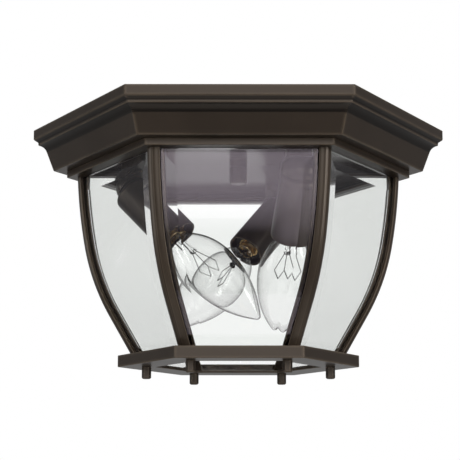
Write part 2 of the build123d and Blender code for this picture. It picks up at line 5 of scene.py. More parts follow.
import bpy
import numpy as np
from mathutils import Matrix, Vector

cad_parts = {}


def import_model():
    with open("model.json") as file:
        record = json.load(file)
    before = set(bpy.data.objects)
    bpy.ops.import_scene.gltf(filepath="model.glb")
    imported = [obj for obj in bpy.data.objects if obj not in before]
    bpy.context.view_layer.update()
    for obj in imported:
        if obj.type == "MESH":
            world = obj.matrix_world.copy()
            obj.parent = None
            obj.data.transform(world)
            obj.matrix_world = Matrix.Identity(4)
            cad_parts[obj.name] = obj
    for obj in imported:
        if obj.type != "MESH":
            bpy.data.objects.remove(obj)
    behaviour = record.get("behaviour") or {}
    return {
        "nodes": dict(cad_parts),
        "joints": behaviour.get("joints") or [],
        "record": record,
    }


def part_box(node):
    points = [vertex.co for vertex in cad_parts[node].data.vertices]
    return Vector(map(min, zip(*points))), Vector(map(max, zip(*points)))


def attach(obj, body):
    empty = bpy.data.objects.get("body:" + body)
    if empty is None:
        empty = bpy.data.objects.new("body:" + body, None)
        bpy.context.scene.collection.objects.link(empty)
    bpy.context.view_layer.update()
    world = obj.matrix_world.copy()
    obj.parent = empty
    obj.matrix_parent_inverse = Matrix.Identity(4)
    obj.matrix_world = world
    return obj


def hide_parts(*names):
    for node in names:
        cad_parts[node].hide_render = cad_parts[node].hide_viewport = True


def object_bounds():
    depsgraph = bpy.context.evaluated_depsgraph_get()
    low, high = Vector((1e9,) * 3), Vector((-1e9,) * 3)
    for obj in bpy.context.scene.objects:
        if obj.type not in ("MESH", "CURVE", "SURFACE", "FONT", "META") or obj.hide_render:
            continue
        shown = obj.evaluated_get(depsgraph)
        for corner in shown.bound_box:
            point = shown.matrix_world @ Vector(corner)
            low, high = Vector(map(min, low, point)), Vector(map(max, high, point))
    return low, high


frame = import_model()
cad_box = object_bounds()

# Shared measures: metres, and a radius of the hexagon runs from its centre to a corner
MM = 0.001
SIDES = 6
LAMPS = 3
HALF = pi / SIDES
FLAT = cos(HALF)
HAIR = 0.001 * MM
fit_gap = 0.3 * MM
slip_gap = 0.1 * MM

# Levels and radii that the frame gives
rim_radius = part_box("canopy_pan")[1].x
crown_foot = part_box("canopy_pan")[0].z
plate_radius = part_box("socket_plate")[1].x
plate_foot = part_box("socket_plate")[0].z
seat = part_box("socket_plate")[1].z
band_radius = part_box("cage_ring")[1].x
band_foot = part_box("cage_ring")[0].z
nose_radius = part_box("rib_1")[1].x
ring_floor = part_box("rib_1")[0].z
ring_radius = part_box("bottom_ring")[1].x
ring_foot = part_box("bottom_ring")[0].z
ring_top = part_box("bottom_ring")[1].z
nut_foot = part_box("cap_nuts")[0].z
nipple_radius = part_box("centre_nipple")[1].x
nipple_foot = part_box("centre_nipple")[0].z
cap_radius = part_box("centre_cap_nut")[1].x
cap_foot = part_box("centre_cap_nut")[0].z
strap_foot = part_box("mounting_strap")[0].z
elbow_nipple_foot, elbow_nipple_top = (corner.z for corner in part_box("elbow_nipples"))

# Crown
rim_height = 6.9 * MM
bevel_in = 3.4 * MM
bevel_drop = 2.2 * MM
bead_height = 1.9 * MM
cove_in = 6.2 * MM
cove_drop = 5.1 * MM
cove_sagitta = 1.05 * MM
slope_in = 5.2 * MM
pan_wall = 2.5 * MM
shelf_thickness = 1.8 * MM

# Rings, ribs and panes
band_wall = 2.0 * MM
band_flange = 2.0 * MM
boss_radius = 4.0 * MM
lip_wall = 2.0 * MM
ring_width = 23.0 * MM
leans = [radians(lean) for lean in (2.6, 10.6, 29.8)]
rib_bends = (361.0 * MM, 155.0 * MM)
nose_width = 1.6 * MM
wing_length = 4.6 * MM
wing_thickness = 2.2 * MM
wing_crown = 0.4 * MM
# Rib edge lightening: rubbed wear, partly painted highlight
nose_wear_and_highlight = 2.5
web_thickness = 4.6 * MM
inner_flange_width = 8.4 * MM
inner_flange_thickness = 2.0 * MM
glass_thickness = 4.0 * MM
glass_edge = 2.6 * MM
bevel_width = 11.5 * MM

# Fasteners
screw_head_radius = 2.8 * MM
screw_head_height = 2.0 * MM
screw_radius = 1.5 * MM
screw_hole = 1.7 * MM
nut_flats = 5.8 * MM
nut_chamfer = 0.8 * MM
locknut_flats = 14.0 * MM
locknut_height = 3.0 * MM
nipple_wall = 1.5 * MM
nipple_pitch = 1.41 * MM
nipple_thread = 0.7 * MM
cap_round = 2.0 * MM
ground_place = -20.0 * MM
ground_head_radius = 4.0 * MM
ground_head_height = 2.2 * MM
ground_screw_radius = 2.0 * MM

# Sockets and bulbs, along each lamp's axis from its pivot
sleeve_radius = 13.5 * MM
sleeve_wall = 1.2 * MM
sleeve_foot = -6.0 * MM
sleeve_reach = 44.9 * MM
sleeve_round = 4.0 * MM
cup_hole = 4.1 * MM
body_radius = 11.0 * MM
body_face = 40.0 * MM
body_floor = -4.8 * MM
body_chamfer = 2.8 * MM
shell_inner = 6.25 * MM
shell_wall = 0.5 * MM
shell_lip = 0.9 * MM
shell_depth = 20.0 * MM
shell_hole = 3.2 * MM
base_radius = 5.9 * MM
base_top = 45.6 * MM
base_length = 16.4 * MM
base_taper = 1.8 * MM
base_wall = 0.5 * MM
base_pitch = 2.54 * MM
base_thread = 0.6 * MM
collar_height = 3.0 * MM
collar_rise = 0.5 * MM
collar_edge = 0.2 * MM
lip_roll = 0.3 * MM
insulator_length = 2.6 * MM
insulator_tip = 2.6 * MM
solder_gap = 0.1 * MM
solder_radius = 2.3 * MM
solder_height = 0.9 * MM
bulb_radius = 18.2 * MM
bulb_length = 81.8 * MM
bulb_belly = 32.4 * MM
bulb_shoulder = 6.5 * MM
bulb_flare = 1.4 * MM
bulb_tip_radius = 2.4 * MM
bulb_wall = 0.7 * MM
bulb_neck_depth = 5.0 * MM
stem_radius = 1.9 * MM
stem_height = 15.5 * MM
stem_flare_length = 3.2 * MM
stem_swell = 0.7 * MM
stem_swell_length = 1.5 * MM
stem_end = 2.0 * MM
wire_radius = 0.28 * MM
lead_spread = 7.0 * MM
lead_root = 1.0 * MM
lead_height = 13.5 * MM
lead_sunk = 2.5 * MM
filament_rise = 7.5 * MM
filament_turns = (radians(60), 0.0, radians(50))


# Surfaces: each patch is a grid of points, their normals and their wear, which below zero marks painted
# shade
def unit(vectors):
    """Vectors divided by their lengths."""
    return vectors / np.maximum(np.linalg.norm(vectors, axis=-1, keepdims=True), 1e-12)


def arc(middle, radius, start, end, count=9):
    """Points on a circle from one angle to another, in radians."""
    turn = np.linspace(start, end, count)
    return [(middle[0] + radius * c, middle[1] + radius * s) for c, s in zip(np.cos(turn), np.sin(turn))]


def rounded(outline, trim=0.5 * MM, apron=1.2 * MM, steps=3):
    """Closed outline whose corners are quadratic curves, with outward normals and wear.

    A corner P with unit vectors a and b towards its neighbours becomes P + t a (1 - w)^2 + t b w^2, with
    w from 0 to 1 and t the trim, at most 0.4 of the shorter run. A corner on the axis stays sharp. A
    further point on each run, one apron past the curve but short of the run's middle, is where the wear of
    the corner ends. Wear is the sine of a corner's turn times 0.45 + 2.2 w (1 - w), and so below zero in
    hollow corners, which the finish darkens as painted shade.
    """
    corner = np.asarray(outline, float)
    following = np.roll(corner, -1, axis=0)
    if np.sum(corner[:, 0] * following[:, 1] - corner[:, 1] * following[:, 0]) < 0:
        corner = corner[::-1]
    back = np.roll(corner, 1, axis=0) - corner
    ahead = np.roll(corner, -1, axis=0) - corner
    back_run = np.linalg.norm(back, axis=1)[:, None, None]
    ahead_run = np.linalg.norm(ahead, axis=1)[:, None, None]
    a = unit(back)[:, None]
    b = unit(ahead)[:, None]
    cut = np.minimum(trim, 0.4 * np.minimum(back_run, ahead_run))
    cut = np.where(np.abs(corner[:, :1, None]) < HAIR, 0, cut)
    w = np.linspace(0, 1, steps + 1)[None, :, None]
    curve = corner[:, None] + cut * (a * (1 - w) ** 2 + b * w**2)
    along = unit(b * w - a * (1 - w))
    before = corner[:, None] + np.minimum(cut + apron, 0.48 * back_run) * a
    after = corner[:, None] + np.minimum(cut + apron, 0.48 * ahead_run) * b
    points = np.concatenate([before, curve, after], axis=1)
    along = np.concatenate([along[:, :1], along, along[:, -1:]], axis=1)
    turn = b[..., 0] * a[..., 1] - b[..., 1] * a[..., 0]
    bell = np.concatenate([[0], 0.45 + 2.2 * w[0, :, 0] * (1 - w[0, :, 0]), [0]])
    normals = np.stack([along[..., 1], -along[..., 0]], axis=-1)
    return closed(points.reshape(-1, 2), normals.reshape(-1, 2), (turn * bell).ravel())


def closed(*rows):
    """Arrays with their first row again after the last."""
    return [np.concatenate([row, row[:1]]) for row in rows]


def smooth(outline):
    """Open outline that is already smooth, run so that outside is on its right: normals square to it."""
    points = np.asarray(outline, float)
    along = unit(np.gradient(points, axis=0))
    return points, np.stack([along[:, 1], -along[:, 0]], axis=-1), np.zeros(len(points))


def hexagon_sweep(outline, trim=0.5 * MM, corner=0.9 * MM, centre=(0, 0), turn=0.0, steps=4, apron=1.5 * MM):
    """Closed outline of apothem and height, carried round a hexagon whose corners are arcs.

    On the arc at corner bearing c, the point with normal bearing f, apothem d and corner radius q is
    (d - q) / cos 30 along c plus q along f, with q at most half of d. Each side is the straight run from
    one arc to the next. A further point at either end of it, one apron from the arc or less near the
    axis, is where the wear of the corner ends. That wear is 0.8 of the cosine over the arc, on faces that
    look outwards.
    """
    points, normals, wear = rounded(outline, trim)
    bend = np.concatenate([[-HALF], np.linspace(-HALF, HALF, steps + 1), [HALF]])
    slide = np.zeros(bend.size)
    slide[[0, -1]] = -apron, apron
    bell = np.concatenate([[0], np.cos(np.linspace(-1, 1, steps + 1)), [0]])
    columns = np.arange(SIDES * bend.size + 1)
    c = turn + 2 * HALF * (columns // bend.size)
    bend, slide, bell = [np.resize(row, columns.size) for row in (bend, slide, bell)]
    f = c + bend
    d = points[:, :1]
    q = np.minimum(corner, 0.5 * np.abs(d))
    slide = slide * np.minimum(1, d / (4 * apron))
    x = centre[0] + (d - q) / FLAT * np.cos(c) + q * np.cos(f) - slide * np.sin(f)
    y = centre[1] + (d - q) / FLAT * np.sin(c) + q * np.sin(f) + slide * np.cos(f)
    z = points[:, 1:] + 0 * f
    out = normals[:, :1]
    up = normals[:, 1:] * np.cos(f - c) / FLAT
    normal = unit(np.stack([out * np.cos(f), out * np.sin(f), up], axis=-1))
    corner_wear = 0.8 * bell * np.clip(out, 0, 1)
    wear = wear[:, None] + 0 * f
    wear = np.where(wear < 0, wear, np.maximum(wear, corner_wear))
    return np.stack([x, y, z], axis=-1), normal, wear


def upright_axes(x=0.0, y=0.0, height=0.0, downwards=False):
    """Axes of a vertical turned piece at a place: origin, two sides and the axis, which looks up or down."""
    way = -1.0 if downwards else 1.0
    return np.array([x, y, height]), np.array([1.0, 0, 0]), np.array([0, way, 0]), np.array([0, 0, way])


def lamp_axes(lamp):
    """Axes of a lamp from its turn joint: the pivot, a level side, the side square to it, and the axis."""
    joint = next(joint for joint in frame["joints"] if joint["name"] == f"bulb_{lamp}_turn")
    axis = unit(np.array(joint["axis"], float))
    side = unit(np.cross((0, 0, 1), axis))
    return np.array(joint["pos_m"], float), side, np.cross(axis, side), axis


def lathe(profile, axes, segments=64):
    """Profile of radius and height, turned about an axis."""
    points, normals, wear = profile
    origin, side, other, axis = axes
    turn = np.linspace(0, 2 * pi, segments + 1)
    out = np.cos(turn)[:, None] * side + np.sin(turn)[:, None] * other
    grid = origin + points[:, :1, None] * out + points[:, 1:, None] * axis
    normal = normals[:, :1, None] * out + normals[:, 1:, None] * axis
    return grid, unit(normal), wear[:, None] + 0 * turn


def bands(outline, axes, segments=48):
    """Straight runs of an outline, each turned by itself, so that the edges between them stay sharp."""
    pairs = zip(outline[:-1], outline[1:])
    return [lathe(smooth(pair), axes, segments) for pair in pairs]


def thread(radius, depth, pitch, start, end, axes, inside=False, segments=48, per_pitch=10):
    """Screw thread: radius less half the depth, plus half the depth times a cosine.

    The cosine's angle is a full turn for each pitch of height, less the turn about the axis. Over the
    first and last 0.6 of a pitch the ridge rises from the plain cylinder, whose radius is the middle.
    """
    origin, side, other, axis = axes
    rows = int(abs(end - start) / pitch * per_pitch) + 2
    height = np.linspace(start, end, rows)[:, None]
    turn = np.linspace(0, 2 * pi, segments + 1)[None]
    rise = np.clip(np.minimum(height - start, end - height) / (0.6 * pitch), 0, 1)
    phase = 2 * pi * height / pitch - turn
    r = radius - depth / 2 + rise * depth / 2 * np.cos(phase)
    slope = rise * depth / 2 * np.sin(phase)
    out = np.cos(turn)[..., None] * side + np.sin(turn)[..., None] * other
    across = np.cos(turn)[..., None] * other - np.sin(turn)[..., None] * side
    grid = origin + r[..., None] * out + height[..., None] * axis
    normal = unit(out - (slope / r)[..., None] * across + (slope * 2 * pi / pitch)[..., None] * axis)
    return grid, -normal if inside else normal, np.clip(rise * np.cos(phase), 0, 1)


def tube(path, radius, side, segments=8):
    """Round wire along a path, side being square to it at every point, with flat ends."""
    along = unit(np.gradient(path, axis=0))
    side = side + 0 * path
    other = np.cross(along, side)
    turn = np.linspace(0, 2 * pi, segments + 1)[:, None]
    out = np.cos(turn) * side[:, None] + np.sin(turn) * other[:, None]
    grid = path[:, None] + radius * out
    first = path[:1, None] + 0 * grid[:1]
    last = path[-1:, None] + 0 * grid[:1]
    grid = np.concatenate([first, grid, last])
    normal = np.concatenate([out[:1], out, out[-1:]])
    return grid, normal, np.zeros(grid.shape[:2])


def bent_line(start, leans, radii):
    """Line seen from the side: straight, an arc, a tighter arc, straight, leaning in more as it falls.

    Its lean from the vertical grows evenly with the run along each arc. The returned function gives the
    distance from the lantern's axis, the height and the lean at a run.
    """
    first = radii[0] * (leans[1] - leans[0])
    second = first + radii[1] * (leans[2] - leans[1])

    def at(run):
        lean = np.interp(run, [0, first, second], leans)
        upper = np.minimum(lean, leans[1])
        lower = np.maximum(lean, leans[1])
        head = np.minimum(run, 0)
        tail = np.maximum(run - second, 0)
        inwards = radii[0] * (cos(leans[0]) - np.cos(upper)) + radii[1] * (cos(leans[1]) - np.cos(lower))
        drop = radii[0] * (np.sin(upper) - sin(leans[0])) + radii[1] * (np.sin(lower) - sin(leans[1]))
        inwards = inwards + head * sin(leans[0]) + tail * sin(leans[2])
        drop = drop + head * cos(leans[0]) + tail * cos(leans[2])
        return start[0] - inwards, start[1] - drop, lean

    return at


def run_at(line, height, depth):
    """Run at which a line's offset, a depth behind it, comes to a height, looked up every 0.05 mm."""
    runs = np.linspace(-20 * MM, 200 * MM, 4401)
    _, z, lean = line(runs)
    return np.interp(-height, -(z + depth * np.sin(lean)), runs)


def turned(patches, bearing):
    """Patches turned to a bearing about the lantern's axis."""
    c, s = cos(bearing), sin(bearing)
    spin = np.array([[c, s, 0], [-s, c, 0], [0, 0, 1]])
    return [(grid @ spin, normal @ spin, wear) for grid, normal, wear in patches]


def six_fold(patches):
    """Patches repeated at the hexagon's six corners."""
    return [patch for side in range(SIDES) for patch in turned(patches, 2 * HALF * side)]


def new_object(name, data):
    """New object of the scene."""
    thing = bpy.data.objects.new(name, data)
    bpy.context.scene.collection.objects.link(thing)
    return thing


def make_piece(name, patches, slot, body="root", replaced=(), flat_ends=()):
    """Piece welded from patches: points within a hair are one, and face corners keep their patch's normals.

    Every grid cell is two triangles, those without area are dropped, and a patch whose faces look against
    its normals is turned over. A flat end is a ring of point numbers and the way that its face looks.
    """
    cells = []
    start = 0
    for grid, normal, _ in patches:
        rows, columns = grid.shape[:2]
        index = np.arange(rows * columns).reshape(rows, columns)
        cell = np.stack([index[:-1, :-1], index[1:, :-1], index[1:, 1:], index[:-1, 1:]], axis=-1)
        cell = cell.reshape(-1, 4)
        corner = grid.reshape(-1, 3)[cell]
        facing = np.cross(corner[:, 2] - corner[:, 0], corner[:, 3] - corner[:, 1])
        outside = np.sum(facing * normal.reshape(-1, 3)[cell[:, 0]]) > 0
        cells.append(start + (cell if outside else cell[:, ::-1]))
        start += rows * columns
    cells = np.concatenate(cells)
    points = np.concatenate([grid.reshape(-1, 3) for grid, _, _ in patches])
    normals = np.concatenate([normal.reshape(-1, 3) for _, normal, _ in patches])
    wear = np.concatenate([wear.ravel() for _, _, wear in patches])
    corners = np.concatenate([cells[:, [0, 1, 2]], cells[:, [0, 2, 3]]])
    places = np.round(points / HAIR).astype(np.int64)
    _, first, owner = np.unique(places, axis=0, return_index=True, return_inverse=True)
    owner = owner.ravel()
    faces = owner[corners]
    real = (faces[:, 0] != faces[:, 1]) & (faces[:, 1] != faces[:, 2]) & (faces[:, 2] != faces[:, 0])
    faces = faces[real].tolist()
    loop_normals = [normals[corners[real]].reshape(-1, 3)]
    for ring, outward in flat_ends:
        edge = points[ring]
        area = np.cross(edge, np.roll(edge, -1, axis=0)).sum(axis=0)
        ring = ring if area @ outward > 0 else ring[::-1]
        faces.append(owner[ring].tolist())
        loop_normals.append(np.tile(outward, (len(ring), 1)))
    mesh = bpy.data.meshes.new(name)
    mesh.from_pydata(points[first].tolist(), [], faces)
    mesh.shade_smooth()
    mesh.normals_split_custom_set(np.concatenate(loop_normals).tolist())
    # The wear attribute holds rubbed wear, and below zero painted shade
    mesh.attributes.new("wear", "FLOAT", "POINT").data.foreach_set("value", wear[first].astype(np.float32))
    mesh.materials.append(FINISHES[slot])
    piece = new_object(name, mesh)
    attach(piece, body)
    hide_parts(*replaced)


# Finishes
GRAIN_HEIGHT = 0.1 * MM


def feed(tree, socket, value):
    """Sets an input: a pair of a node and an output's name is a link, anything else a value."""
    if isinstance(value, tuple) and isinstance(value[0], bpy.types.Node):
        tree.links.new(value[0].outputs[value[1]], socket)
    else:
        socket.default_value = value


def node_of(tree, kind, **inputs):
    """New node with its inputs fed by name."""
    node = tree.nodes.new(kind)
    for name, value in inputs.items():
        feed(tree, node.inputs[name.replace("_", " ")], value)
    return node


def math_of(tree, operation, first, second):
    """Math node on two values or links."""
    node = tree.nodes.new("ShaderNodeMath")
    node.operation = operation
    feed(tree, node.inputs[0], first)
    feed(tree, node.inputs[1], second)
    return node


def colour_mix(tree, share, first, second):
    """Mix of two colours by a share, each a value or a link."""
    node = tree.nodes.new("ShaderNodeMix")
    node.data_type = "RGBA"
    for number, value in ((0, share), (6, first), (7, second)):
        feed(tree, node.inputs[number], value)
    return node


def shader_mix(tree, share, first, second):
    """Mix of two shaders by a share, all of them links."""
    node = tree.nodes.new("ShaderNodeMixShader")
    for socket, value in zip(node.inputs, (share, first, second)):
        feed(tree, socket, value)
    return node


def plain_material(name):
    """New material, its node tree and its shader."""
    material = bpy.data.materials.new(name)
    material.use_nodes = True
    return material, material.node_tree, material.node_tree.nodes["Principled BSDF"]


AGED_INPUTS = {
    "Ground": "NodeSocketColor",
    "Cloud": "NodeSocketColor",
    "Worn": "NodeSocketColor",
    "Wear": "NodeSocketFloat",
    "Cloud size": "NodeSocketFloat",
    "Grain size": "NodeSocketFloat",
    "Gloss low": "NodeSocketFloat",
    "Gloss high": "NodeSocketFloat",
}
AGED_OUTPUTS = {"Color": "NodeSocketColor", "Roughness": "NodeSocketFloat", "Grain": "NodeSocketFloat"}


def aged_finish_and_painted_light(painted_shade_reach=-1.2, painted_shade_colour=(0.004, 0.003, 0.0025, 1)):
    """Group for metals and mouldings: clouded colour, lighter where worn, and painted shade in hollow
    corners.

    The lighter worn colour is rubbed wear, and on edges partly painted highlight. Wear below zero times the
    painted shade reach is the share of the painted shade colour. The group also puts out an uneven gloss
    and a fine grain.
    """
    group = bpy.data.node_groups.new("aged_finish_and_painted_light", "ShaderNodeTree")
    for name, kind in AGED_INPUTS.items():
        group.interface.new_socket(name, in_out="INPUT", socket_type=kind)
    for name, kind in AGED_OUTPUTS.items():
        group.interface.new_socket(name, in_out="OUTPUT", socket_type=kind)
    given = group.nodes.new("NodeGroupInput")
    made = group.nodes.new("NodeGroupOutput")
    place = group.nodes.new("ShaderNodeTexCoord")
    wear = group.nodes.new("ShaderNodeAttribute")
    wear.attribute_name = "wear"

    def noise(size, **settings):
        return node_of(
            group, "ShaderNodeTexNoise", Vector=(place, "Object"), Scale=(given, size), **settings
        )

    def clouds(start, end, **ends):
        return node_of(
            group, "ShaderNodeMapRange", Value=(cloud, "Fac"), From_Min=start, From_Max=end, **ends
        )

    cloud = noise("Cloud size", Detail=4.0, Roughness=0.6)
    grain = noise("Grain size", Detail=2.0)
    cloudy = clouds(0.35, 0.65)
    patchy = clouds(0.3, 0.6, To_Min=0.4)
    gloss = clouds(0.3, 0.7, To_Min=(given, "Gloss low"), To_Max=(given, "Gloss high"))
    # Edge lightening: rubbed wear, partly painted highlight
    rubbed_and_highlight = math_of(group, "MULTIPLY", (wear, "Fac"), (given, "Wear"))
    broken = math_of(group, "MULTIPLY", (rubbed_and_highlight, "Value"), (patchy, "Result"))
    broken.use_clamp = True
    clouded = colour_mix(group, (cloudy, "Result"), (given, "Ground"), (given, "Cloud"))
    # Painted shade: wear below zero turns the colour towards the dark painted shade colour in hollow corners
    hollow = math_of(group, "MULTIPLY", (wear, "Fac"), painted_shade_reach)
    hollow.use_clamp = True
    with_painted_shade = colour_mix(group, (hollow, "Value"), (clouded, "Result"), painted_shade_colour)
    worn = colour_mix(group, (broken, "Value"), (with_painted_shade, "Result"), (given, "Worn"))
    group.links.new(worn.outputs[2], made.inputs["Color"])
    group.links.new(gloss.outputs["Result"], made.inputs["Roughness"])
    group.links.new(grain.outputs["Fac"], made.inputs["Grain"])
    return group


AGED_AND_PAINTED_LIGHT = aged_finish_and_painted_light()


def finish(
    name,
    ground,
    cloud,
    worn,
    wear,
    gloss,
    cloud_size=18.0,
    grain_size=900.0,
    grain=0.02,
    **constants,
):
    """Material on the finish group of wear, painted highlight and painted shade: gloss is the lowest and
    highest roughness, constants go on the shader.
    """
    material, tree, shader = plain_material(name)
    aged_and_painted_light = tree.nodes.new("ShaderNodeGroup")
    aged_and_painted_light.node_tree = AGED_AND_PAINTED_LIGHT
    settings = {
        "Ground": (*ground, 1),
        "Cloud": (*cloud, 1),
        "Worn": (*worn, 1),
        "Wear": wear,
        "Cloud size": cloud_size,
        "Grain size": grain_size,
        "Gloss low": gloss[0],
        "Gloss high": gloss[1],
    }
    for socket, value in settings.items():
        aged_and_painted_light.inputs[socket].default_value = value
    bump = node_of(tree, "ShaderNodeBump", Height=(aged_and_painted_light, "Grain"), Strength=grain, Distance=GRAIN_HEIGHT)
    tree.links.new(aged_and_painted_light.outputs["Color"], shader.inputs["Base Color"])
    tree.links.new(aged_and_painted_light.outputs["Roughness"], shader.inputs["Roughness"])
    tree.links.new(bump.outputs["Normal"], shader.inputs["Normal"])
    for socket, value in constants.items():
        shader.inputs[socket.replace("_", " ")].default_value = value
    return material


def clear_glass(name, tint, deep_tint, ior, ripple, sheen=(1, 1, 1), drift_size=14.0):
    """Clear glass: a trace of tint that drifts over the piece, and a faint ripple in its surface."""
    material, tree, shader = plain_material(name)
    place = tree.nodes.new("ShaderNodeTexCoord")
    drift = node_of(tree, "ShaderNodeTexNoise", Vector=(place, "Object"), Scale=drift_size, Detail=1.0)
    colour = colour_mix(tree, (drift, "Fac"), (*tint, 1), (*deep_tint, 1))
    bump = node_of(tree, "ShaderNodeBump", Height=(drift, "Fac"), Strength=ripple, Distance=GRAIN_HEIGHT)
    tree.links.new(colour.outputs[2], shader.inputs["Base Color"])
    tree.links.new(bump.outputs["Normal"], shader.inputs["Normal"])
    shader.inputs["Roughness"].default_value = 0.0
    shader.inputs["IOR"].default_value = ior
    shader.inputs["Transmission Weight"].default_value = 1.0
    shader.inputs["Specular Tint"].default_value = (*sheen, 1)
    return material


FINISHES = {
    # Bronze: its lighter worn colour on edges is rubbed wear and partly painted highlight
    "bronze_paint": finish(
        "bronze_paint_aged",
        ground=(0.034, 0.0247, 0.0184),
        cloud=(0.0385, 0.028, 0.0207),
        worn=(0.15, 0.115, 0.08),
        wear=0.85,
        gloss=(0.28, 0.33),
        Specular_Tint=(1.0, 0.86, 0.74, 1),
    ),
    "plate_paint": finish(
        "plate_paint_glossy",
        ground=(0.12, 0.104, 0.106),
        cloud=(0.135, 0.118, 0.12),
        worn=(0.12, 0.1, 0.08),
        wear=0.3,
        gloss=(0.2, 0.25),
        grain=0.0,
    ),
    "zinc_steel": finish(
        "zinc_plate",
        ground=(0.56, 0.56, 0.54),
        cloud=(0.66, 0.65, 0.61),
        worn=(0.8, 0.8, 0.78),
        wear=0.5,
        gloss=(0.25, 0.4),
        cloud_size=60.0,
        Metallic=1.0,
    ),
    "green_screw": finish(
        "green_plate",
        ground=(0.03, 0.16, 0.05),
        cloud=(0.04, 0.2, 0.06),
        worn=(0.3, 0.4, 0.3),
        wear=0.5,
        gloss=(0.25, 0.35),
    ),
    "socket_moulding": finish(
        "moulding_matt",
        ground=(0.016, 0.015, 0.015),
        cloud=(0.022, 0.02, 0.02),
        worn=(0.05, 0.05, 0.05),
        wear=0.4,
        gloss=(0.45, 0.6),
    ),
    "shell_brass": finish(
        "shell_brass_bright",
        ground=(0.66, 0.42, 0.17),
        cloud=(0.72, 0.5, 0.22),
        worn=(0.85, 0.65, 0.35),
        wear=0.4,
        gloss=(0.18, 0.28),
        cloud_size=120.0,
        Metallic=1.0,
    ),
    "base_brass": finish(
        "base_brass_dulled",
        ground=(0.86, 0.6, 0.31),
        cloud=(0.92, 0.7, 0.4),
        worn=(0.85, 0.65, 0.35),
        wear=0.4,
        gloss=(0.3, 0.45),
        cloud_size=160.0,
        Metallic=1.0,
    ),
    "base_insulator": finish(
        "black_vitreous",
        ground=(0.008, 0.008, 0.01),
        cloud=(0.012, 0.012, 0.014),
        worn=(0.03, 0.03, 0.03),
        wear=0.3,
        gloss=(0.1, 0.2),
    ),
    "solder": finish(
        "solder_dull",
        ground=(0.5, 0.5, 0.5),
        cloud=(0.6, 0.6, 0.58),
        worn=(0.7, 0.7, 0.7),
        wear=0.3,
        gloss=(0.3, 0.45),
        cloud_size=300.0,
        Metallic=1.0,
    ),
    "filament_metal": finish(
        "wire_grey",
        ground=(0.14, 0.135, 0.13),
        cloud=(0.2, 0.19, 0.18),
        worn=(0.3, 0.3, 0.3),
        wear=0.3,
        gloss=(0.3, 0.45),
        cloud_size=300.0,
        Metallic=1.0,
    ),
    "pane_glass": clear_glass(
        "pane_clear",
        tint=(0.995, 0.997, 0.995),
        deep_tint=(0.988, 0.992, 0.99),
        ior=1.5,
        ripple=0.02,
        sheen=(1, 0.86, 1),
    ),
    "bulb_glass": clear_glass(
        "bulb_clear",
        tint=(1.0, 1.0, 1.0),
        deep_tint=(0.99, 0.99, 0.99),
        ior=1.38,
        ripple=0.01,
    ),
}


# Rib section and pane line, worked out as the pieces fit each other
wing_out = wing_length * cos(HALF)
wing_back = wing_length * sin(HALF)
wing_tip = nose_width / 2 + wing_out
bevel_slope = (glass_thickness - glass_edge) / bevel_width
glass_hold = (wing_tip - web_thickness / 2 - fit_gap) / cos(HALF)
held_edge = glass_edge + bevel_slope * glass_hold
groove = held_edge + 2 * fit_gap
apex = nose_width / 2 * tan(HALF)
flange_slope = apex - (wing_thickness + groove) / cos(HALF)
flange_edge = flange_slope - inner_flange_width / 2 * tan(HALF)
rib_depth = inner_flange_thickness - flange_edge
screw_circle = nose_radius - wing_thickness / cos(HALF) - groove / 2
stud_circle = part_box("cap_nuts")[1].x - nut_flats / 2 / FLAT
shelf_top = seat + shelf_thickness


# Lantern
def crown():
    """Canopy pan: rim, bead, hollow cove and sloping skirt, and inside them the shelf for the plate.

    The cove is its straight run plus a bow of four times the sagitta times share times one less share.
    Painted shade darkens the downward faces under the rim and in the cove, apart from worn edges.
    """
    bead_radius = rim_radius - bevel_in
    cove_radius = bead_radius - cove_in
    foot_radius = cove_radius - slope_in
    bead_top = -rim_height - bevel_drop
    cove_top = bead_top - bead_height
    cove_foot = cove_top - cove_drop
    lip_flat = band_radius * FLAT - band_wall - fit_gap
    shelf_flat = (screw_circle - screw_head_radius) * FLAT - fit_gap
    slope_left = (shelf_top - crown_foot) / (cove_foot - crown_foot)
    shelf_wall = (foot_radius + slope_in * slope_left) * FLAT - pan_wall
    share = np.linspace(0, 1, 7)[:, None]
    run = np.array([-cove_in * FLAT, -cove_drop])
    hollow = np.array([run[1], -run[0]]) / hypot(*run)
    bow = 4 * cove_sagitta * share * (1 - share) * hollow
    cove = np.array([bead_radius * FLAT, cove_top]) + share * run + bow
    outline = [
        (rim_radius * FLAT - pan_wall, 0),
        (rim_radius * FLAT, 0),
        (rim_radius * FLAT, -rim_height),
        (bead_radius * FLAT, bead_top),
        *cove,
        (foot_radius * FLAT, crown_foot),
        (lip_flat, crown_foot),
        (lip_flat, seat),
        (shelf_flat, seat),
        (shelf_flat, shelf_top),
        (shelf_wall, shelf_top),
        (cove_radius * FLAT - pan_wall, cove_foot + pan_wall),
        (rim_radius * FLAT - pan_wall, bevel_drop - rim_height),
    ]
    grid, normal, wear = hexagon_sweep(outline, trim=0.6 * MM)
    # Painted shade: downward faces under the rim and in the cove get wear below zero, which the finish
    # paints dark
    height = grid[..., 2]
    under_rim = (height < -rim_height - HAIR) & (height > bead_top + HAIR)
    in_cove = (height < cove_top - HAIR) & (height > cove_foot)
    downwards = normal[..., 2] < -0.2
    unworn = wear < 0.1
    wear = np.where((under_rim | in_cove) & downwards & unworn, -1, wear)
    make_piece("crown", [(grid, normal, wear)], "bronze_paint", replaced=["canopy_pan"])


def plate():
    """Socket plate: thin hexagon with softened edges."""
    edge = plate_radius * FLAT
    outline = [(0, plate_foot), (edge, plate_foot), (edge, seat), (0, seat)]
    make_piece("plate", [hexagon_sweep(outline)], "plate_paint", replaced=["socket_plate"])


